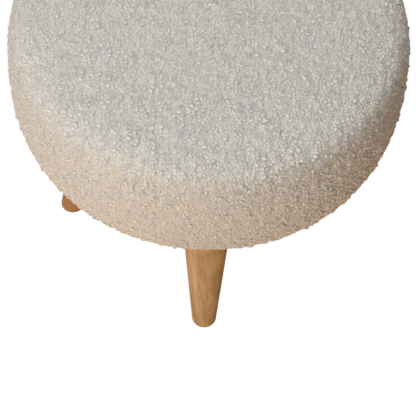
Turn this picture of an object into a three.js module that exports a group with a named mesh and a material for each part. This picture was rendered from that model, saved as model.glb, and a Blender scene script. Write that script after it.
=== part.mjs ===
// Round upholstered footstool: one filled, cloth-covered seat on four splayed, tapered wooden legs.
// Millimetres, +Z up. The origin is on the floor, under the middle of the seat.
// The legs stand on the axes: front towards -Y, back towards +Y, left towards -X, right towards +X.

import * as THREE from "three";

// Seat. Its outer form reaches as far as the pile of the cloth does.
const UNDERSIDE_HEIGHT = 230; // floor to the flat underside
const EDGE_THICKNESS = 139; // underside to where the rounded top edge meets the crowned top
const CROWN_SLOPE_DEG = 6; // of the top, at its edge
const SEAT_RADIUS = 210; // at the widest part of the side
const WIDEST_HEIGHT = 66; // underside to the widest part
const SIDE_SWELL = 280; // radius of the side's swell, seen from the side
const TOP_ROUNDING = 22; // radius of the edge around the top
const BOTTOM_ROUNDING = 10; // radius of the edge around the underside

// Legs. Every section is level, so each foot stands flat and each top meets the underside.
const FOOT_CIRCLE_RADIUS = 158; // middle of the stool to the middle of a foot
const SPLAY_DEG = 14; // outward lean from top to foot
const FOOT_RADIUS = 14;
const LEG_TOP_RADIUS = 33;
const FOOT_ROUNDING = 2.5; // softened edge around the sole
const SEATING_GAP = 0.3; // from a leg's top to the underside
const LEG_NAMES = ["leg_right", "leg_back", "leg_left", "leg_front"]; // a quarter turn apart, from +X

// Facets around each piece, and steps along each stretch of its outline.
const SEAT_FACETS = 72;
const LEG_FACETS = 32;
const SWELL_STEPS = 7;
const CROWN_STEPS = 7;
const TOP_ROUNDING_STEPS = 7;
const SMALL_ROUNDING_STEPS = 3;

const QUARTER_TURN = Math.PI / 2;

const clothFinish = () => new THREE.MeshStandardMaterial({ color: 0xd9cfc0, roughness: 0.95, metalness: 0 });
const woodFinish = () => new THREE.MeshStandardMaterial({ color: 0xbb8c58, roughness: 0.55, metalness: 0 });

// Outlines are lists of points (distance from the axis, height), from the foot of the axis to its top.
const point = (fromAxis, height) => new THREE.Vector2(fromAxis, height);

// Points along an arc. Its first point is left out, because the stretch before it ends there.
function arc(centre, radius, fromAngle, toAngle, steps) {
  return Array.from({ length: steps }, (_, i) => {
    const angle = fromAngle + ((i + 1) / steps) * (toAngle - fromAngle);
    return point(centre.x + radius * Math.cos(angle), centre.y + radius * Math.sin(angle));
  });
}

// The side is an arc that swells to the seat's full radius. The edges around the top and the underside
// are smaller arcs inside it that touch it, and the crown leaves the top edge at that edge's own slope.
function seatOutline() {
  const swellCentre = point(SEAT_RADIUS - SIDE_SWELL, WIDEST_HEIGHT);
  const edgeCentre = (rounding, height) => {
    const reach = SIDE_SWELL - rounding;
    const angle = Math.asin((height - WIDEST_HEIGHT) / reach);
    return { angle, centre: point(swellCentre.x + reach * Math.cos(angle), height) };
  };
  const crownSlope = THREE.MathUtils.degToRad(CROWN_SLOPE_DEG);
  const under = edgeCentre(BOTTOM_ROUNDING, BOTTOM_ROUNDING);
  const over = edgeCentre(TOP_ROUNDING, EDGE_THICKNESS - TOP_ROUNDING * Math.cos(crownSlope));
  const crownRadius = over.centre.x + TOP_ROUNDING * Math.sin(crownSlope);
  const crownRise = (crownRadius * Math.tan(crownSlope)) / 2;
  const crown = Array.from({ length: CROWN_STEPS }, (_, i) => {
    const share = 1 - (i + 1) / CROWN_STEPS;
    return point(share * crownRadius, EDGE_THICKNESS + crownRise * (1 - share ** 2));
  });
  return [
    point(0, 0),
    point(under.centre.x, 0),
    ...arc(under.centre, BOTTOM_ROUNDING, -QUARTER_TURN, under.angle, SMALL_ROUNDING_STEPS),
    ...arc(swellCentre, SIDE_SWELL, under.angle, over.angle, SWELL_STEPS),
    ...arc(over.centre, TOP_ROUNDING, over.angle, QUARTER_TURN - crownSlope, TOP_ROUNDING_STEPS),
    ...crown,
  ];
}

function legOutline(height) {
  const taper = Math.atan((LEG_TOP_RADIUS - FOOT_RADIUS) / height);
  const soleEdge = point(FOOT_RADIUS - FOOT_ROUNDING, FOOT_ROUNDING);
  return [
    point(0, 0),
    point(soleEdge.x, 0),
    ...arc(soleEdge, FOOT_ROUNDING, -QUARTER_TURN, -taper, SMALL_ROUNDING_STEPS),
    point(LEG_TOP_RADIUS, height),
    point(0, height),
  ];
}

// Turns an outline around the vertical axis.
function turned(outline, facets) {
  return new THREE.LatheGeometry(outline, facets).rotateX(QUARTER_TURN);
}

function makeSeat() {
  const seat = new THREE.Mesh(turned(seatOutline(), SEAT_FACETS), clothFinish());
  seat.name = "seat";
  seat.position.z = UNDERSIDE_HEIGHT;
  return seat;
}

// A leg leans in the upright plane through the stool's axis, with its top closer to the middle than its foot.
function makeLeg(name, index) {
  const height = UNDERSIDE_HEIGHT - SEATING_GAP;
  const inwardPerHeight = Math.tan(THREE.MathUtils.degToRad(SPLAY_DEG));
  const lean = new THREE.Matrix4().makeShear(0, 0, 0, 0, -inwardPerHeight, 0);
  const leg = new THREE.Mesh(turned(legOutline(height), LEG_FACETS).applyMatrix4(lean), woodFinish());
  leg.name = name;
  leg.position.x = FOOT_CIRCLE_RADIUS;
  const place = new THREE.Group();
  place.rotation.z = index * QUARTER_TURN;
  place.add(leg);
  return place;
}

const footstool = new THREE.Group();
footstool.add(makeSeat(), ...LEG_NAMES.map(makeLeg));

export default footstool;
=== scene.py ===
"""An upholstered footstool: a round padded seat covered in curly pile cloth, on four turned wooden legs.

The seat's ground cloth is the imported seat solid, drawn in by one pile depth and swollen a little by its
filling. Short curls of yarn stand on it all over, and each leg is one leaning taper of pale wood.
Every length is in metres.
"""

import math

import bpy
import numpy as np
from mathutils import Matrix, Vector


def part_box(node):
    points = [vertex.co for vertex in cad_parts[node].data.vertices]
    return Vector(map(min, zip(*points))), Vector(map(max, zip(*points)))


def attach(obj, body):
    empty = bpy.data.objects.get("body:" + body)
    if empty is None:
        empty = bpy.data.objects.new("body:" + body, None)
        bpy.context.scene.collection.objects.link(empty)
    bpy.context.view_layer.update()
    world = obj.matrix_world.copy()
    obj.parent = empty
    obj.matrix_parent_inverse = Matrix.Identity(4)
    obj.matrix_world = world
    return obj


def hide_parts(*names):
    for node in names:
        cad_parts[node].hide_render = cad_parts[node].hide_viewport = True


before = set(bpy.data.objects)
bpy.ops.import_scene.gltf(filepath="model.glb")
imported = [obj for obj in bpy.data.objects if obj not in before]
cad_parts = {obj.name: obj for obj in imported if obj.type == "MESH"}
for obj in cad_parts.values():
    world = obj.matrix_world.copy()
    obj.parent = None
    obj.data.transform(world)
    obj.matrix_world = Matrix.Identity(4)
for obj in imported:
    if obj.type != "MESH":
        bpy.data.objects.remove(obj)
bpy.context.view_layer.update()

# Seat
PILE_DEPTH = 0.0020  # from the ground cloth to the tips of the pile
REMESH_SIZE = 0.0075
FILLING_PRESSURE = 6
SWELL_FRAMES = 20
MOST_SWELL = 0.0008  # as far as the filling may push the cloth
STAPLED_HEIGHT = 0.012  # the cloth below this is held still
TURN_UNDER = 0.012  # width of the pile cloth that is turned in under the seat
CLUMP_RELIEF = 0.0036
CLUMP_SIZE = 0.0068
WIDEST_HEIGHT = 0.066  # from the underside to the widest part of the side
FLAT_TOLERANCE = 0.001  # what lies this close to the underside counts as part of it

# Pile
SECTORS = 5
CURL_SPACING = 0.0028
ROOTS_TRIED = 6.0  # places tried in each square of one spacing
CURLS = (
    {"length": 0.0050, "thickness": 0.0045, "sides": 6, "rings": 4, "arch": 15, "turn": 0},
    {"length": 0.0056, "thickness": 0.0043, "sides": 5, "rings": 4, "arch": 30, "turn": 30},
    {"length": 0.0055, "thickness": 0.0042, "sides": 5, "rings": 5, "arch": 35, "turn": 70},
    {"length": 0.0047, "thickness": 0.0047, "sides": 6, "rings": 4, "arch": 10, "turn": 0},
    {"length": 0.0052, "thickness": 0.0044, "sides": 5, "rings": 4, "arch": 25, "turn": 50},
)
CURL_LIFT = -0.0008  # most curls are sunk this far into the cloth
STRAY_LIFT = 0.0014  # and a few stand out by up to this much more
MOST_TILT = math.radians(24)
CURL_STRETCH = ((0.8, 1.25), (0.85, 1.2), (0.65, 0.95))  # least and most, along, across and upwards
SEEDS = {"roots": 7, "stray": 3, "lean": (11, 12, 13), "stretch": (21, 22, 23), "shape": 31, "tone": 41}
FUZZ = 0.62  # how much the nap evens out the light on each curl
MAP_MARGIN = 0.004

# Cloth colours
# painted shade, partly: the curl roots are darker, partly the wool's yellowing at the root and partly shade
# in the hollows between curls
CURL_ROOT_TINT_AND_SHADE = (0.76, 0.67, 0.53, 1)
CURL_TIPS = ((0.875, 0.85, 0.795, 1), (0.915, 0.895, 0.85, 1))
CURL_TONES = ((0.95, 0.95, 0.95, 1), (1.03, 1.03, 1.03, 1))
GROUND_CLOTH = ((0.74, 0.68, 0.57, 1), (0.79, 0.73, 0.63, 1))
UNDERSIDE_CLOTH = ((0.50, 0.47, 0.41, 1), (0.56, 0.53, 0.47, 1))
PLAIN = (1.0, 1.0, 1.0, 1.0)
WARM_CAST = (1.0, 0.98, 0.955, 1)
UNDERSIDE_CAST = (1.0, 0.97, 0.93, 1)

# Legs
FOOT_RADIUS = 0.014
SOLE_ROUNDING = 0.0012
SOLE_STEPS = 4
LEG_SIDES = 64
LEG_NAMES = ("leg_front", "leg_right", "leg_back", "leg_left")
# painted shade, partly: each leg's wood is redder and darker by this share, its own tone and, on the left
# leg under the seat, painted shade
LEG_REDNESS_AND_SHADE = (0.0, 0.3, 0.15, 0.75)
NEXT_CUT = (0.017, -0.011, 0.27)  # from one leg's place in the plank to the next one's
LEVEL_TOLERANCE = 1e-6

# Wood
PITH = (-0.025, 0.030, 0.21)  # where the growth rings are centred
RING_SLANT = (math.radians(12), math.radians(10), 0.0)
STREAK_SLANT = (0.0, math.radians(5), 0.0)
PALE_WOOD = ((0.63, 0.435, 0.21, 1), (0.80, 0.53, 0.31, 1))
LATE_WOOD = (0.42, 0.25, 0.10, 1)
PORE_WOOD = (0.40, 0.23, 0.095, 1)
# redder and darker wood: partly the wood's own tone, partly painted shade
RED_AND_SHADED_WOOD = (0.48, 0.235, 0.095, 1)

# Camera
LENS = 120.7
LOOK_DOWN = math.radians(58.74)
LOOK_ASIDE = math.radians(3.94)
CAMERA_ROLL = math.radians(3.13)
CAMERA_DISTANCE = 1.442
CAMERA_AIM = (-0.0016, -0.1474)  # a point level with the seat's underside

# Room
LAMPS = (
    {"name": "overhead", "place": (0.2, 0.3, 2.4), "aim": 0.3, "size": 2.0, "watts": 19.2,
     "colour": (0.94, 0.955, 1.0)},
    {"name": "key", "place": (-1.1, -2.1, 1.3), "aim": 0.28, "size": 1.0, "watts": 29.9,
     "colour": (1.0, 1.0, 1.0)},
    {"name": "left fill", "place": (-1.6, -0.2, 2.0), "aim": 0.28, "size": 0.8, "watts": 10.4,
     "colour": (0.81, 0.885, 1.0)},
)
FLOOR_SIZE = 30
FLOOR_COLOUR = (0.9, 0.5, 0.2, 1)  # warm, for the light that it throws back up
WHITE = (1, 1, 1, 1)
ROOM_COLOUR = (1.0, 0.95, 0.86, 1)
ROOM_LIGHT = 0.14


# --- common steps ---------------------------------------------------------------------------------------


def deselect_all():
    """Leaves nothing selected, the CAD nodes included."""
    if bpy.context.object and bpy.context.object.mode != "OBJECT":
        bpy.ops.object.mode_set(mode="OBJECT")
    bpy.ops.object.select_all(action="DESELECT")


def take(piece):
    """Makes one piece the selected and active object."""
    deselect_all()
    piece.select_set(True)
    bpy.context.view_layer.objects.active = piece


def open_whole(piece):
    """Opens a piece in edit mode with all of it selected."""
    take(piece)
    bpy.ops.object.mode_set(mode="EDIT")
    bpy.ops.mesh.select_all(action="SELECT")


def close_piece():
    """Goes back to object mode."""
    bpy.ops.object.mode_set(mode="OBJECT")


def copy_of(piece, name):
    """A copy with a mesh of its own."""
    made = piece.copy()
    made.data = piece.data.copy()
    made.name = name
    made.data.name = name
    for key in list(made.keys()):
        del made[key]
    made.parent = None
    made.hide_render = False
    bpy.context.scene.collection.objects.link(made)
    return made


def apply_modifier(piece, modifier):
    """Applies one modifier to its piece."""
    take(piece)
    bpy.ops.object.modifier_apply(modifier=modifier.name)


def points_of(piece):
    """The places of a piece's points, one row each."""
    flat = np.empty(len(piece.data.vertices) * 3)
    piece.data.vertices.foreach_get("co", flat)
    return flat.reshape(-1, 3)


def move_points(piece, places):
    """Puts a piece's points at new places."""
    piece.data.vertices.foreach_set("co", places.ravel())
    piece.data.update()


def name_points(piece, name, chosen):
    """Keeps some of a piece's points as a named group."""
    group = piece.vertex_groups.new(name=name)
    group.add(np.nonzero(chosen)[0].tolist(), 1.0, "REPLACE")
    return group


def keep_on_points(piece, name, kind, values):
    """Keeps a number or a vector on each point, for the materials."""
    kept = piece.data.attributes.new(name, kind, "POINT")
    field = "vector" if kind == "FLOAT_VECTOR" else "value"
    kept.data.foreach_set(field, np.asarray(values).ravel())


# --- node steps -----------------------------------------------------------------------------------------


def feed(tree, socket, value):
    """Links a socket to another socket, or gives it a plain value."""
    if isinstance(value, bpy.types.NodeSocket):
        tree.links.new(value, socket)
    else:
        socket.default_value = value


def add_node(tree, kind, inputs=(), **settings):
    """Adds a node with its settings, and feeds its inputs by name or number."""
    made = tree.nodes.new(kind)
    for name, value in settings.items():
        setattr(made, name, value)
    for key, value in dict(inputs).items():
        feed(tree, made.inputs[key], value)
    return made


def add_group(tree, group, inputs=()):
    """Places a node group in a tree."""
    made = tree.nodes.new("ShaderNodeGroup")
    made.node_tree = group
    for key, value in dict(inputs).items():
        feed(tree, made.inputs[key], value)
    return made


def maths(tree, operation, first, second=0.0):
    """One arithmetic step between sockets or numbers."""
    made = add_node(tree, "ShaderNodeMath", {0: first, 1: second}, operation=operation)
    return made.outputs[0]


def vector_maths(tree, operation, *values):
    """One step between vectors."""
    made = add_node(tree, "ShaderNodeVectorMath", enumerate(values), operation=operation)
    return made.outputs[0]


def joined(tree, along, across, upwards=0.0):
    """A vector from its three parts."""
    made = add_node(tree, "ShaderNodeCombineXYZ", {"X": along, "Y": across, "Z": upwards})
    return made.outputs[0]


def random_number(tree, low, high, seed):
    """A number of each curl's own."""
    made = add_node(tree, "FunctionNodeRandomValue", {2: low, 3: high, "Seed": seed}, data_type="FLOAT")
    return made.outputs[1]


def mix_colours(tree, share, first, second, blend="MIX"):
    """Blends two colours."""
    inputs = {0: share, 6: first, 7: second}
    made = add_node(tree, "ShaderNodeMix", inputs, data_type="RGBA", blend_type=blend)
    return made.outputs[2]


def stretched(tree, value, low, high):
    """Spreads what lies between two limits over the whole of 0 to 1."""
    made = add_node(tree, "ShaderNodeMapRange", {"Value": value, 1: low, 2: high}, clamp=True)
    return made.outputs[0]


def noise(tree, place, scale, detail=2.0, roughness=0.5, distortion=0.0):
    """The value of a noise texture."""
    inputs = {
        "Vector": place,
        "Scale": scale,
        "Detail": detail,
        "Roughness": roughness,
        "Distortion": distortion,
    }
    return add_node(tree, "ShaderNodeTexNoise", inputs).outputs[0]


def attribute(tree, name, output="Fac"):
    """What a piece keeps on its points under a name."""
    return add_node(tree, "ShaderNodeAttribute", attribute_name=name).outputs[output]


def new_group(name, kind, sockets):
    """A node group with its input and output nodes. Each socket is (direction, name, type, value)."""
    group = bpy.data.node_groups.new(name, kind)
    for direction, label, socket_type, value in sockets:
        made = group.interface.new_socket(label, in_out=direction, socket_type=socket_type)
        if value is not None:
            made.default_value = value
    return group, group.nodes.new("NodeGroupInput"), group.nodes.new("NodeGroupOutput")


def new_material(name, roughness, specular=0.5):
    """An empty material with a Principled shader, whose plain values are set on its own sockets."""
    material = bpy.data.materials.new(name)
    material.use_nodes = True
    tree = material.node_tree
    shader = tree.nodes["Principled BSDF"]
    shader.inputs["Roughness"].default_value = roughness
    shader.inputs["Specular IOR Level"].default_value = specular
    return material, tree, shader


def relieve(tree, shader, height, strength, distance, normal=None):
    """Gives a shader its fine relief."""
    inputs = {"Height": height, "Strength": strength, "Distance": distance}
    if normal is not None:
        inputs["Normal"] = normal
    relief = add_node(tree, "ShaderNodeBump", inputs)
    tree.links.new(relief.outputs[0], shader.inputs["Normal"])


# --- camera ---------------------------------------------------------------------------------------------


def make_camera(seat_low):
    """The camera looks down at the seat's front, turned and rolled a little."""
    data = bpy.data.cameras.new("camera")
    data.lens = LENS
    data.sensor_width = 36
    data.clip_end = 50
    camera = bpy.data.objects.new("camera", data)
    bpy.context.scene.collection.objects.link(camera)
    aim = Vector((*CAMERA_AIM, seat_low))
    turn = Matrix.Rotation(-LOOK_ASIDE, 4, "Z")
    tip = Matrix.Rotation(math.pi / 2 - LOOK_DOWN, 4, "X")
    roll = Matrix.Rotation(CAMERA_ROLL, 4, "Z")
    look = turn @ tip @ roll
    back = look @ Vector((0, 0, CAMERA_DISTANCE))
    camera.matrix_world = Matrix.Translation(aim + back) @ look
    bpy.context.scene.camera = camera


# --- cloth finishes -------------------------------------------------------------------------------------


def make_patches_group():
    """Slow drifts of tone over the cloth: a mask of large patches and one of small flecks."""
    group, given, result = new_group(
        "wool patches",
        "ShaderNodeTree",
        (
            ("INPUT", "Patch Scale", "NodeSocketFloat", 38.0),
            ("INPUT", "Fleck Scale", "NodeSocketFloat", 160.0),
            ("OUTPUT", "Patches", "NodeSocketFloat", None),
            ("OUTPUT", "Flecks", "NodeSocketFloat", None),
        ),
    )
    place = add_node(group, "ShaderNodeTexCoord").outputs["Object"]
    for scale, out in (("Patch Scale", "Patches"), ("Fleck Scale", "Flecks")):
        mottle = noise(group, place, given.outputs[scale])
        group.links.new(stretched(group, mottle, 0.3, 0.7), result.inputs[out])
    return group


def make_fibre_group():
    """The fine matted fibres of wool yarn, as a height."""
    group, given, result = new_group(
        "wool fibres",
        "ShaderNodeTree",
        (
            ("INPUT", "Fibre Scale", "NodeSocketFloat", 1400.0),
            ("OUTPUT", "Height", "NodeSocketFloat", None),
        ),
    )
    place = add_node(group, "ShaderNodeTexCoord").outputs["Object"]
    matted = noise(group, place, given.outputs["Fibre Scale"], detail=3.0, roughness=0.6, distortion=1.5)
    group.links.new(matted, result.inputs["Height"])
    return group


def wool_colour(tree, patches_group, shades, cast):
    """The yarn's colour: dark to light by the flecks, and with a warmer cast in some patches."""
    patches = add_group(tree, patches_group)
    tint = mix_colours(tree, patches.outputs["Patches"], PLAIN, cast)
    dark, light = shades
    tone = mix_colours(tree, patches.outputs["Flecks"], dark, light)
    return mix_colours(tree, 1.0, tone, tint, "MULTIPLY")


def curl_colour(tree, patches_group):
    """Darker and warmer towards the root of a curl, partly the wool's own yellowing and partly painted shade
    for the hollows between curls, and a tone of each curl's own.
    """
    tips = wool_colour(tree, patches_group, CURL_TIPS, WARM_CAST)
    tip = stretched(tree, attribute(tree, "tip"), 0.5, 0.85)
    # painted shade, partly: the root colour is mixed in low on each curl, where the hollows between curls
    # lie
    base = mix_colours(tree, tip, CURL_ROOT_TINT_AND_SHADE, tips)
    own = mix_colours(tree, attribute(tree, "tone"), *CURL_TONES)
    return mix_colours(tree, 1.0, base, own, "MULTIPLY")


def napped_normal(tree):
    """The light on loose fibres: partly a curl's own facing, and partly the cloth's under it."""
    facing = add_node(tree, "ShaderNodeNewGeometry").outputs["Normal"]
    nap = attribute(tree, "nap", "Vector")
    fuzzy = add_node(tree, "ShaderNodeMix", {0: FUZZ, 4: facing, 5: nap}, data_type="VECTOR")
    return vector_maths(tree, "NORMALIZE", fuzzy.outputs[1])


def make_curl_material(patches_group, fibre_group):
    """Cream wool curls, each of a slightly different tone."""
    material, tree, shader = new_material("cream wool curls", roughness=0.92, specular=0.25)
    shader.inputs["Sheen Weight"].default_value = 0.25
    shader.inputs["Sheen Roughness"].default_value = 0.5
    shader.inputs["Subsurface Weight"].default_value = 0.8
    shader.inputs["Subsurface Scale"].default_value = 0.005
    shader.inputs["Subsurface Radius"].default_value = (0.7, 0.82, 1.0)
    tree.links.new(curl_colour(tree, patches_group), shader.inputs["Base Color"])
    fibres = add_group(tree, fibre_group)
    relieve(tree, shader, fibres.outputs["Height"], 0.2, 0.0003, napped_normal(tree))
    return material


def make_ground_material(patches_group, fibre_group):
    """The knitted ground cloth between the curls."""
    material, tree, shader = new_material("knitted ground cloth", roughness=0.95, specular=0.2)
    colour = wool_colour(tree, patches_group, GROUND_CLOTH, WARM_CAST)
    tree.links.new(colour, shader.inputs["Base Color"])
    fibres = add_group(tree, fibre_group, {"Fibre Scale": 900.0})
    relieve(tree, shader, fibres.outputs["Height"], 0.6, 0.0006)
    return material


def make_underside_material(patches_group, fibre_group):
    """The plain woven cloth stretched over the underside."""
    material, tree, shader = new_material("plain woven underside", roughness=0.95, specular=0.2)
    colour = wool_colour(tree, patches_group, UNDERSIDE_CLOTH, UNDERSIDE_CAST)
    tree.links.new(colour, shader.inputs["Base Color"])
    place = add_node(tree, "ShaderNodeTexCoord").outputs["Object"]
    threads = []
    for direction in ("X", "Y"):
        inputs = {"Vector": place, "Scale": 160.0, "Distortion": 0.6, "Detail Scale": 60.0}
        thread = add_node(tree, "ShaderNodeTexWave", inputs, bands_direction=direction)
        threads.append(thread.outputs["Fac"])
    weave = maths(tree, "MAXIMUM", *threads)
    fibres = add_group(tree, fibre_group)
    height = maths(tree, "ADD", weave, fibres.outputs["Height"])
    relieve(tree, shader, height, 0.5, 0.0004)
    return material


# --- seat -----------------------------------------------------------------------------------------------


def draw_in(cloth, low, high):
    """Takes one pile depth off the top and the side."""
    radius = (high.x - low.x) / 2
    inward = 1 - PILE_DEPTH / radius
    downward = 1 - PILE_DEPTH / (high.z - low.z)
    middle = ((low.x + high.x) / 2, (low.y + high.y) / 2, low.z)
    open_whole(cloth)
    bpy.ops.mesh.remove_doubles(threshold=1e-6)
    bpy.ops.transform.resize(value=(inward, inward, downward), center_override=middle)
    close_piece()


def remesh(cloth):
    """Gives the cloth an even mesh."""
    even = cloth.modifiers.new("even mesh", "REMESH")
    even.mode = "VOXEL"
    even.voxel_size = REMESH_SIZE
    even.adaptivity = 0
    apply_modifier(cloth, even)


def refine(cloth):
    """Halves the size of the cloth's faces."""
    finer = cloth.modifiers.new("finer", "SUBSURF")
    finer.levels = 1
    finer.render_levels = 1
    apply_modifier(cloth, finer)


def flatten_underside(cloth, floor):
    """Brings the underside's points back to the board's level."""
    places = points_of(cloth)
    under = places[:, 2] < floor + REMESH_SIZE / 2
    places[under, 2] = np.maximum(places[under, 2], floor)
    move_points(cloth, places)


def swell(cloth, floor):
    """Blows the cloth out a little with its filling, stapled down all round the underside."""
    before = points_of(cloth)
    stapled = name_points(cloth, "stapled", before[:, 2] < floor + STAPLED_HEIGHT)
    filling = cloth.modifiers.new("filling", "CLOTH")
    filling.settings.use_pressure = True
    filling.settings.uniform_pressure_force = FILLING_PRESSURE
    filling.settings.effector_weights.gravity = 0
    filling.settings.vertex_group_mass = stapled.name
    for step in range(1, SWELL_FRAMES + 1):
        bpy.context.scene.frame_set(step)
    apply_modifier(cloth, filling)
    bpy.context.scene.frame_set(1)
    moved = points_of(cloth) - before
    length = np.linalg.norm(moved, axis=1, keepdims=True)
    share = np.minimum(1, MOST_SWELL / np.maximum(length, 1e-9))
    move_points(cloth, before + moved * share)


def clump(cloth, floor):
    """Raises and sinks the cloth a little where its pile gathers, all but the underside."""
    piled = name_points(cloth, "piled", points_of(cloth)[:, 2] > floor + REMESH_SIZE / 2)
    lumps = bpy.data.textures.new("lumps", "CLOUDS")
    lumps.noise_scale = CLUMP_SIZE
    lumps.noise_depth = 1
    gather = cloth.modifiers.new("gather", "DISPLACE")
    gather.texture = lumps
    gather.texture_coords = "LOCAL"
    gather.vertex_group = piled.name
    gather.strength = CLUMP_RELIEF
    gather.mid_level = 0.5
    apply_modifier(cloth, gather)


def make_ground_cloth(low, high):
    """The seat's tight cover without its pile: drawn in by the pile depth and a little uneven."""
    cloth = copy_of(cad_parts["seat"], "cover")
    draw_in(cloth, low, high)
    remesh(cloth)
    flatten_underside(cloth, low.z)
    swell(cloth, low.z)
    refine(cloth)
    flatten_underside(cloth, low.z)
    clump(cloth, low.z)
    cloth.data.shade_smooth()
    return cloth


def dress_ground_cloth(cloth, ground, underside, floor, radius):
    """Gives the flat middle of the underside its own cloth."""
    cloth.data.materials.clear()
    cloth.data.materials.append(ground)
    cloth.data.materials.append(underside)
    for face in cloth.data.polygons:
        reach = math.hypot(face.center.x, face.center.y)
        under = face.center.z < floor + FLAT_TOLERANCE and reach < radius - TURN_UNDER
        face.material_index = 1 if under else 0


# --- curls ----------------------------------------------------------------------------------------------


def bend(curl, degrees):
    """Bends a curl level, round its middle."""
    turned = curl.modifiers.new("bend", "SIMPLE_DEFORM")
    turned.deform_method = "BEND"
    turned.deform_axis = "Z"
    turned.angle = math.radians(degrees)
    apply_modifier(curl, turned)


def make_curl(name, form, material):
    """One short curl of yarn: a plump grain bent into a low arch, and then round on itself."""
    deselect_all()
    bpy.ops.mesh.primitive_uv_sphere_add(
        segments=form["sides"], ring_count=form["rings"], radius=0.5, calc_uvs=True
    )
    curl = bpy.context.object
    curl.name = name
    size = (form["thickness"], form["thickness"], form["length"])
    open_whole(curl)
    bpy.ops.transform.resize(value=size, center_override=(0, 0, 0))
    bpy.ops.transform.rotate(value=math.pi / 2, orient_axis="Y", center_override=(0, 0, 0))
    close_piece()
    bend(curl, form["arch"])
    open_whole(curl)
    bpy.ops.transform.rotate(value=math.pi / 2, orient_axis="X", center_override=(0, 0, 0))
    close_piece()
    bend(curl, form["turn"])
    open_whole(curl)
    bpy.ops.mesh.normals_make_consistent(inside=False)
    close_piece()
    heights = points_of(curl)[:, 2]
    keep_on_points(curl, "tip", "FLOAT", (heights - heights.min()) / np.ptp(heights))
    curl.data.shade_smooth()
    curl.data.materials.append(material)
    return curl


# --- pile -----------------------------------------------------------------------------------------------


def covered_by_pile(group, parts, reach, floor, radius):
    """All of the cloth above the underside, and the rim that is turned in under it."""
    above = maths(group, "GREATER_THAN", parts["Z"], floor + FLAT_TOLERANCE)
    turned_in = maths(group, "GREATER_THAN", reach, radius - TURN_UNDER)
    return maths(group, "MAXIMUM", above, turned_in)


def sectors_round(group, parts):
    """How many sectors a place lies round the seat."""
    angle = maths(group, "ARCTAN2", parts["Y"], parts["X"])
    turns = maths(group, "DIVIDE", angle, 2 * math.pi)
    share = maths(group, "FRACT", maths(group, "ADD", turns, 1.0))
    return maths(group, "MULTIPLY", share, float(SECTORS))


def scatter_roots(group, cloth, covered):
    """Sets the roots of the curls at random, but evenly spaced."""
    inputs = {
        "Mesh": cloth,
        "Selection": covered,
        "Distance Min": CURL_SPACING,
        "Density Max": ROOTS_TRIED / CURL_SPACING ** 2,
        "Seed": SEEDS["roots"],
    }
    return add_node(group, "GeometryNodeDistributePointsOnFaces", inputs, distribute_method="POISSON")


def keep_sector(group, roots, around, sector):
    """Leaves only the roots in one sector."""
    compared = {0: maths(group, "FLOOR", around), 1: sector, "Epsilon": 0.1}
    other = add_node(group, "FunctionNodeCompare", compared, data_type="FLOAT", operation="NOT_EQUAL")
    chosen = {"Geometry": roots, "Selection": other.outputs[0]}
    return add_node(group, "GeometryNodeDeleteGeometry", chosen, domain="POINT").outputs[0]


def lift_roots(group, roots, normal):
    """Sinks most curls a little, and lets a few stand out."""
    stray = maths(group, "POWER", random_number(group, 0.0, 1.0, SEEDS["stray"]), 6.0)
    lift = maths(group, "ADD", maths(group, "MULTIPLY", stray, STRAY_LIFT), CURL_LIFT)
    outward = add_node(group, "ShaderNodeVectorMath", {0: normal, "Scale": lift}, operation="SCALE")
    moved = {"Geometry": roots, "Offset": outward.outputs[0]}
    return add_node(group, "GeometryNodeSetPosition", moved).outputs[0]


def lean_curls(group, rotation):
    """Tips each curl a little, and turns it any way."""
    turns = ((-MOST_TILT, MOST_TILT), (-MOST_TILT, MOST_TILT), (0.0, 2 * math.pi))
    angles = [random_number(group, *limits, seed) for limits, seed in zip(turns, SEEDS["lean"])]
    lean = add_node(group, "FunctionNodeEulerToRotation", {0: joined(group, *angles)})
    inputs = {"Rotation": rotation, "Rotate By": lean.outputs[0]}
    return add_node(group, "FunctionNodeRotateRotation", inputs, rotation_space="LOCAL").outputs[0]


def grow_curls(group, roots, curls, rotation):
    """Sets a curl of any of the shapes on each root."""
    inputs = {"Collection": curls, "Separate Children": True, "Reset Children": True}
    shapes = add_node(group, "GeometryNodeCollectionInfo", inputs)
    sizes = [random_number(group, *limits, seed) for limits, seed in zip(CURL_STRETCH, SEEDS["stretch"])]
    picked = add_node(
        group, "FunctionNodeRandomValue", {4: 0, 5: len(CURLS) - 1, "Seed": SEEDS["shape"]}, data_type="INT"
    )
    inputs = {
        "Points": roots,
        "Instance": shapes.outputs[0],
        "Pick Instance": True,
        "Instance Index": picked.outputs[2],
        "Rotation": rotation,
        "Scale": joined(group, *sizes),
    }
    return add_node(group, "GeometryNodeInstanceOnPoints", inputs).outputs[0]


def keep_on_pile(group, pile, name, value, kind="FLOAT_VECTOR", domain="INSTANCE"):
    """Keeps a value on the curls under a name."""
    inputs = {"Geometry": pile, "Name": name, "Value": value}
    kept = add_node(group, "GeometryNodeStoreNamedAttribute", inputs, data_type=kind, domain=domain)
    return kept.outputs[0]


def kept_on_pile(group, name):
    """What the curls keep under a name."""
    kept = add_node(group, "GeometryNodeInputNamedAttribute", {"Name": name}, data_type="FLOAT_VECTOR")
    return kept.outputs[0]


def place_on_map(group, parts, reach, around, low, high, whole):
    """A curl's place on its sector's flat map: how far round, and how far out and down."""
    radius = (high.x - low.x) / 2
    down = maths(group, "SUBTRACT", high.z, parts["Z"])
    lower = maths(group, "LESS_THAN", parts["Z"], low.z + WIDEST_HEIGHT)
    drawn_in = maths(group, "MULTIPLY", 2.0, maths(group, "SUBTRACT", radius, reach))
    inward = maths(group, "MULTIPLY", lower, drawn_in)
    along = maths(group, "ADD", maths(group, "ADD", reach, down), inward)
    return joined(group, maths(group, "FRACT", around), maths(group, "DIVIDE", along, whole))


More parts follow.
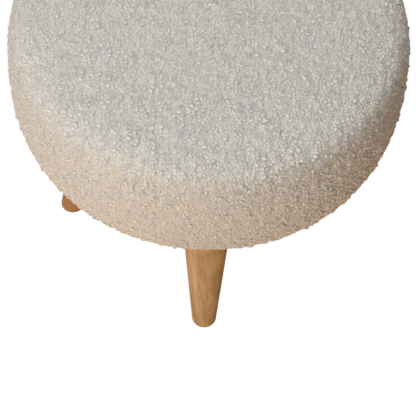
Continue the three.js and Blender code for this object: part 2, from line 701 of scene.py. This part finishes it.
def map_pile(group, pile, radius, whole):
    """Lays each curl's own map small at its place on the sector's map."""
    cell = (CURL_SPACING / (2 * math.pi * radius / SECTORS), CURL_SPACING / whole, 0.0)
    centred = vector_maths(group, "SUBTRACT", kept_on_pile(group, "UVMap"), (0.5, 0.5, 0.0))
    patch = vector_maths(group, "MULTIPLY", centred, cell)
    spot = kept_on_pile(group, "spot")
    spread = vector_maths(group, "MULTIPLY_ADD", spot, (0.98, 0.98, 0.0), (0.01, 0.01, 0.0))
    laid = vector_maths(group, "ADD", spread, patch)
    mapped = keep_on_pile(group, pile, "OFBake", laid, "FLOAT2", "CORNER")
    return add_node(group, "GeometryNodeRemoveAttribute", {"Geometry": mapped, "Name": "spot"}).outputs[0]


def make_pile_group(curls, low, high):
    """The nodes that set curls all over the ground cloth, in one sector of the seat."""
    group, given, result = new_group(
        "pile of curls",
        "GeometryNodeTree",
        (
            ("INPUT", "Cloth", "NodeSocketGeometry", None),
            ("INPUT", "Sector", "NodeSocketFloat", 0.0),
            ("OUTPUT", "Pile", "NodeSocketGeometry", None),
        ),
    )
    radius = (high.x - low.x) / 2
    whole = radius + (high.z - low.z) + TURN_UNDER + MAP_MARGIN
    place = add_node(group, "GeometryNodeInputPosition").outputs[0]
    parts = add_node(group, "ShaderNodeSeparateXYZ", {0: place}).outputs
    across = maths(group, "POWER", parts["X"], 2.0)
    deep = maths(group, "POWER", parts["Y"], 2.0)
    reach = maths(group, "SQRT", maths(group, "ADD", across, deep))
    around = sectors_round(group, parts)
    covered = covered_by_pile(group, parts, reach, low.z, radius)
    scatter = scatter_roots(group, given.outputs["Cloth"], covered)
    normal = scatter.outputs["Normal"]
    roots = keep_sector(group, scatter.outputs["Points"], around, given.outputs["Sector"])
    roots = lift_roots(group, roots, normal)
    pile = grow_curls(group, roots, curls, lean_curls(group, scatter.outputs["Rotation"]))
    pile = keep_on_pile(group, pile, "tone", random_number(group, 0.0, 1.0, SEEDS["tone"]), "FLOAT")
    pile = keep_on_pile(group, pile, "nap", normal)
    pile = keep_on_pile(group, pile, "spot", place_on_map(group, parts, reach, around, low, high, whole))
    real = add_node(group, "GeometryNodeRealizeInstances", {"Geometry": pile}).outputs[0]
    group.links.new(map_pile(group, real, radius, whole), result.inputs["Pile"])
    return group


def make_pile(cloth, material, low, high):
    """Curls of yarn over the whole cover, in as many pieces as there are sectors."""
    shelf = bpy.data.collections.new("curl shapes")
    bpy.context.scene.collection.children.link(shelf)
    shapes = []
    for number, form in enumerate(CURLS, 1):
        curl = make_curl(f"curl_shape_{number}", form, material)
        for home in list(curl.users_collection):
            home.objects.unlink(curl)
        shelf.objects.link(curl)
        shapes.append(curl)
    group = make_pile_group(shelf, low, high)
    sector_socket = next(item.identifier for item in group.interface.items_tree if item.name == "Sector")
    pieces = []
    for number in range(SECTORS):
        piece = copy_of(cloth, f"pile_{number + 1}")
        grow = piece.modifiers.new("curls", "NODES")
        grow.node_group = group
        grow[sector_socket] = float(number)
        apply_modifier(piece, grow)
        pieces.append(piece)
    for curl in shapes:
        bpy.data.objects.remove(curl)
    bpy.data.collections.remove(shelf)
    return pieces


# --- wood -----------------------------------------------------------------------------------------------


def growth_rings(tree, grain):
    """Broad slanting rings drawn out along the wood, and slow patches that follow them."""
    aslant = add_node(
        tree, "ShaderNodeMapping", {"Vector": grain, "Location": PITH, "Rotation": RING_SLANT}
    )
    drawn = add_node(tree, "ShaderNodeMapping", {"Vector": aslant.outputs[0], "Scale": (1.0, 1.0, 0.14)})
    rings = add_node(
        tree,
        "ShaderNodeTexWave",
        {"Vector": drawn.outputs[0], "Scale": 24.0, "Distortion": 6.0, "Detail": 2.0, "Detail Scale": 0.6},
        wave_type="RINGS",
        rings_direction="Z",
    )
    patches = noise(tree, drawn.outputs[0], 34.0)
    return rings.outputs["Fac"], patches


def long_fibres(tree, grain):
    """Long streaks and finer fibres, which lean a little."""
    leaning = add_node(tree, "ShaderNodeMapping", {"Vector": grain, "Rotation": STREAK_SLANT})
    long = add_node(tree, "ShaderNodeMapping", {"Vector": leaning.outputs[0], "Scale": (1.0, 1.0, 0.04)})
    streaks = noise(tree, long.outputs[0], 260.0, detail=3.0)
    fibres = noise(tree, long.outputs[0], 650.0)
    return streaks, fibres


def darken(tree, mask, strength, colour, darker):
    """Mixes a darker colour in where a mask is high."""
    return mix_colours(tree, maths(tree, "MULTIPLY", mask, strength), colour, darker)


def make_wood_material():
    """Turned hardwood under a thin satin oil: broad slanting growth rings, long streaks and fine fibres."""
    material, tree, shader = new_material("turned hardwood", roughness=0.45, specular=0.4)
    grain = attribute(tree, "grain", "Vector")
    rings, patches = growth_rings(tree, grain)
    streaks, fibres = long_fibres(tree, grain)
    colour = mix_colours(tree, stretched(tree, patches, 0.38, 0.62), *PALE_WOOD)
    colour = darken(tree, maths(tree, "POWER", rings, 3.0), 0.45, colour, LATE_WOOD)
    colour = darken(tree, stretched(tree, streaks, 0.47, 0.63), 0.40, colour, PORE_WOOD)
    colour = darken(tree, stretched(tree, fibres, 0.45, 0.65), 0.40, colour, PORE_WOOD)
    # painted shade, partly: redder and darker wood on each leg, most on the left leg under the seat
    colour = mix_colours(tree, attribute(tree, "redness_and_shade"), colour, RED_AND_SHADED_WOOD)
    tree.links.new(colour, shader.inputs["Base Color"])
    rough = maths(tree, "ADD", maths(tree, "MULTIPLY", fibres, 0.2), 0.34)
    tree.links.new(rough, shader.inputs["Roughness"])
    relieve(tree, shader, fibres, 0.25, 0.0003)
    return material


# --- legs -----------------------------------------------------------------------------------------------


def select_level(piece, level):
    """Selects the faces that lie flat at one height, in edit mode."""
    close_piece()
    mesh = piece.data
    for item in (*mesh.vertices, *mesh.edges, *mesh.polygons):
        item.select = False
    for face in mesh.polygons:
        heights = [mesh.vertices[corner].co.z for corner in face.vertices]
        face.select = all(abs(height - level) < LEVEL_TOLERANCE for height in heights)
    bpy.ops.object.mode_set(mode="EDIT")


def make_front_leg(low, high):
    """One leaning taper with a softened sole, under the seat's front."""
    top_radius = (high.x - low.x) / 2
    foot = Vector(((low.x + high.x) / 2, low.y + FOOT_RADIUS, low.z))
    top = Vector((foot.x, high.y - top_radius, high.z))
    deselect_all()
    bpy.ops.mesh.primitive_cone_add(
        vertices=LEG_SIDES,
        radius1=FOOT_RADIUS,
        radius2=top_radius,
        depth=top.z - foot.z,
        location=(foot.x, foot.y, (top.z + foot.z) / 2),
    )
    leg = bpy.context.object
    bpy.ops.object.transform_apply(location=True, rotation=False, scale=False)
    bpy.ops.object.mode_set(mode="EDIT")
    select_level(leg, top.z)
    bpy.ops.transform.translate(value=(0, top.y - foot.y, 0))
    select_level(leg, foot.z)
    bpy.ops.mesh.bevel(offset=SOLE_ROUNDING, segments=SOLE_STEPS, affect="EDGES")
    close_piece()
    bpy.ops.object.shade_smooth_by_angle(angle=math.radians(40))
    return leg, foot, top


def keep_grain(leg, foot, top, offset, redness_and_shade):
    """Keeps where each point lay in the straight wood, before the leg was leant, and how much redder and
    darker its wood is: partly the wood's own tone, and on the left leg under the seat partly painted shade.
    """
    places = points_of(leg)
    share = (places[:, 2] - foot.z) / (top.z - foot.z)
    straight = places - np.array(foot)
    straight[:, 0] -= share * (top.x - foot.x)
    straight[:, 1] -= share * (top.y - foot.y)
    keep_on_points(leg, "grain", "FLOAT_VECTOR", straight + np.array(offset))
    keep_on_points(leg, "redness_and_shade", "FLOAT", np.full(len(places), redness_and_shade))


def make_legs(material):
    """Four like legs, a quarter turn apart, each cut from its own stretch of wood."""
    low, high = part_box(LEG_NAMES[0])
    pattern, foot, top = make_front_leg(low, high)
    pattern.data.materials.append(material)
    legs = []
    for number, (name, redness_and_shade) in enumerate(zip(LEG_NAMES, LEG_REDNESS_AND_SHADE)):
        leg = copy_of(pattern, f"{name}_wood")
        keep_grain(leg, foot, top, [step * number for step in NEXT_CUT], redness_and_shade)
        take(leg)
        leg.rotation_euler = (0, 0, number * math.pi / 2)
        bpy.ops.object.transform_apply(location=False, rotation=True, scale=False)
        legs.append(leg)
    bpy.data.objects.remove(pattern)
    return legs


# --- room -----------------------------------------------------------------------------------------------


def white_to_camera(tree, shader, white, output):
    """Shows plain white to the camera, and the shader to all other rays."""
    path = add_node(tree, "ShaderNodeLightPath").outputs["Is Camera Ray"]
    shown = add_node(tree, "ShaderNodeMixShader", {0: path, 1: shader.outputs[0], 2: white.outputs[0]})
    tree.links.new(shown.outputs[0], tree.nodes[output].inputs["Surface"])


def make_floor():
    """A wide pale floor."""
    deselect_all()
    bpy.ops.mesh.primitive_plane_add(size=FLOOR_SIZE)
    floor = bpy.context.object
    floor.name = "floor"
    material, tree, shader = new_material("pale floor", roughness=0.9)
    shader.inputs["Base Color"].default_value = FLOOR_COLOUR
    white = add_node(tree, "ShaderNodeEmission", {"Color": WHITE, "Strength": 1.0})
    white_to_camera(tree, shader, white, "Material Output")
    floor.data.materials.append(material)


def make_world():
    """White all round to the eye, and a soft even light on the object."""
    world = bpy.data.worlds.new("studio")
    bpy.context.scene.world = world
    world.use_nodes = True
    tree = world.node_tree
    light = tree.nodes["Background"]
    light.inputs["Color"].default_value = ROOM_COLOUR
    light.inputs["Strength"].default_value = ROOM_LIGHT
    white = add_node(tree, "ShaderNodeBackground", {"Color": WHITE, "Strength": 1.0})
    white_to_camera(tree, light, white, "World Output")


def make_lamp(name, place, aim, size, watts, colour):
    """A large soft lamp turned towards a height over the middle of the floor."""
    data = bpy.data.lights.new(name, "AREA")
    data.shape = "DISK"
    data.size = size
    data.energy = watts
    data.color = colour
    lamp = bpy.data.objects.new(name, data)
    bpy.context.scene.collection.objects.link(lamp)
    lamp.location = place
    lamp.rotation_euler = (Vector((0, 0, aim)) - Vector(place)).to_track_quat("-Z", "Y").to_euler()
    lamp.visible_camera = False


def make_room():
    """The floor, the lights and the white surroundings."""
    make_floor()
    make_world()
    for lamp in LAMPS:
        make_lamp(**lamp)
    bpy.context.scene.view_settings.view_transform = "Standard"


# --- making ---------------------------------------------------------------------------------------------


def make_seat():
    """The padded seat: its ground cloth, and the pile that stands on it."""
    low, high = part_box("seat")
    radius = (high.x - low.x) / 2 - PILE_DEPTH
    patches_group = make_patches_group()
    fibre_group = make_fibre_group()
    ground = make_ground_material(patches_group, fibre_group)
    underside = make_underside_material(patches_group, fibre_group)
    curls = make_curl_material(patches_group, fibre_group)
    cloth = make_ground_cloth(low, high)
    for piece in make_pile(cloth, curls, low, high):
        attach(piece, "root")
    dress_ground_cloth(cloth, ground, underside, low.z, radius)
    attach(cloth, "root")
    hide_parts("seat")


def fit_legs():
    """The four wooden legs, each in the place of its solid."""
    for leg, node in zip(make_legs(make_wood_material()), LEG_NAMES):
        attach(leg, "root")
        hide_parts(node)


make_camera(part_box("seat")[0].z)
make_seat()
fit_legs()
make_room()
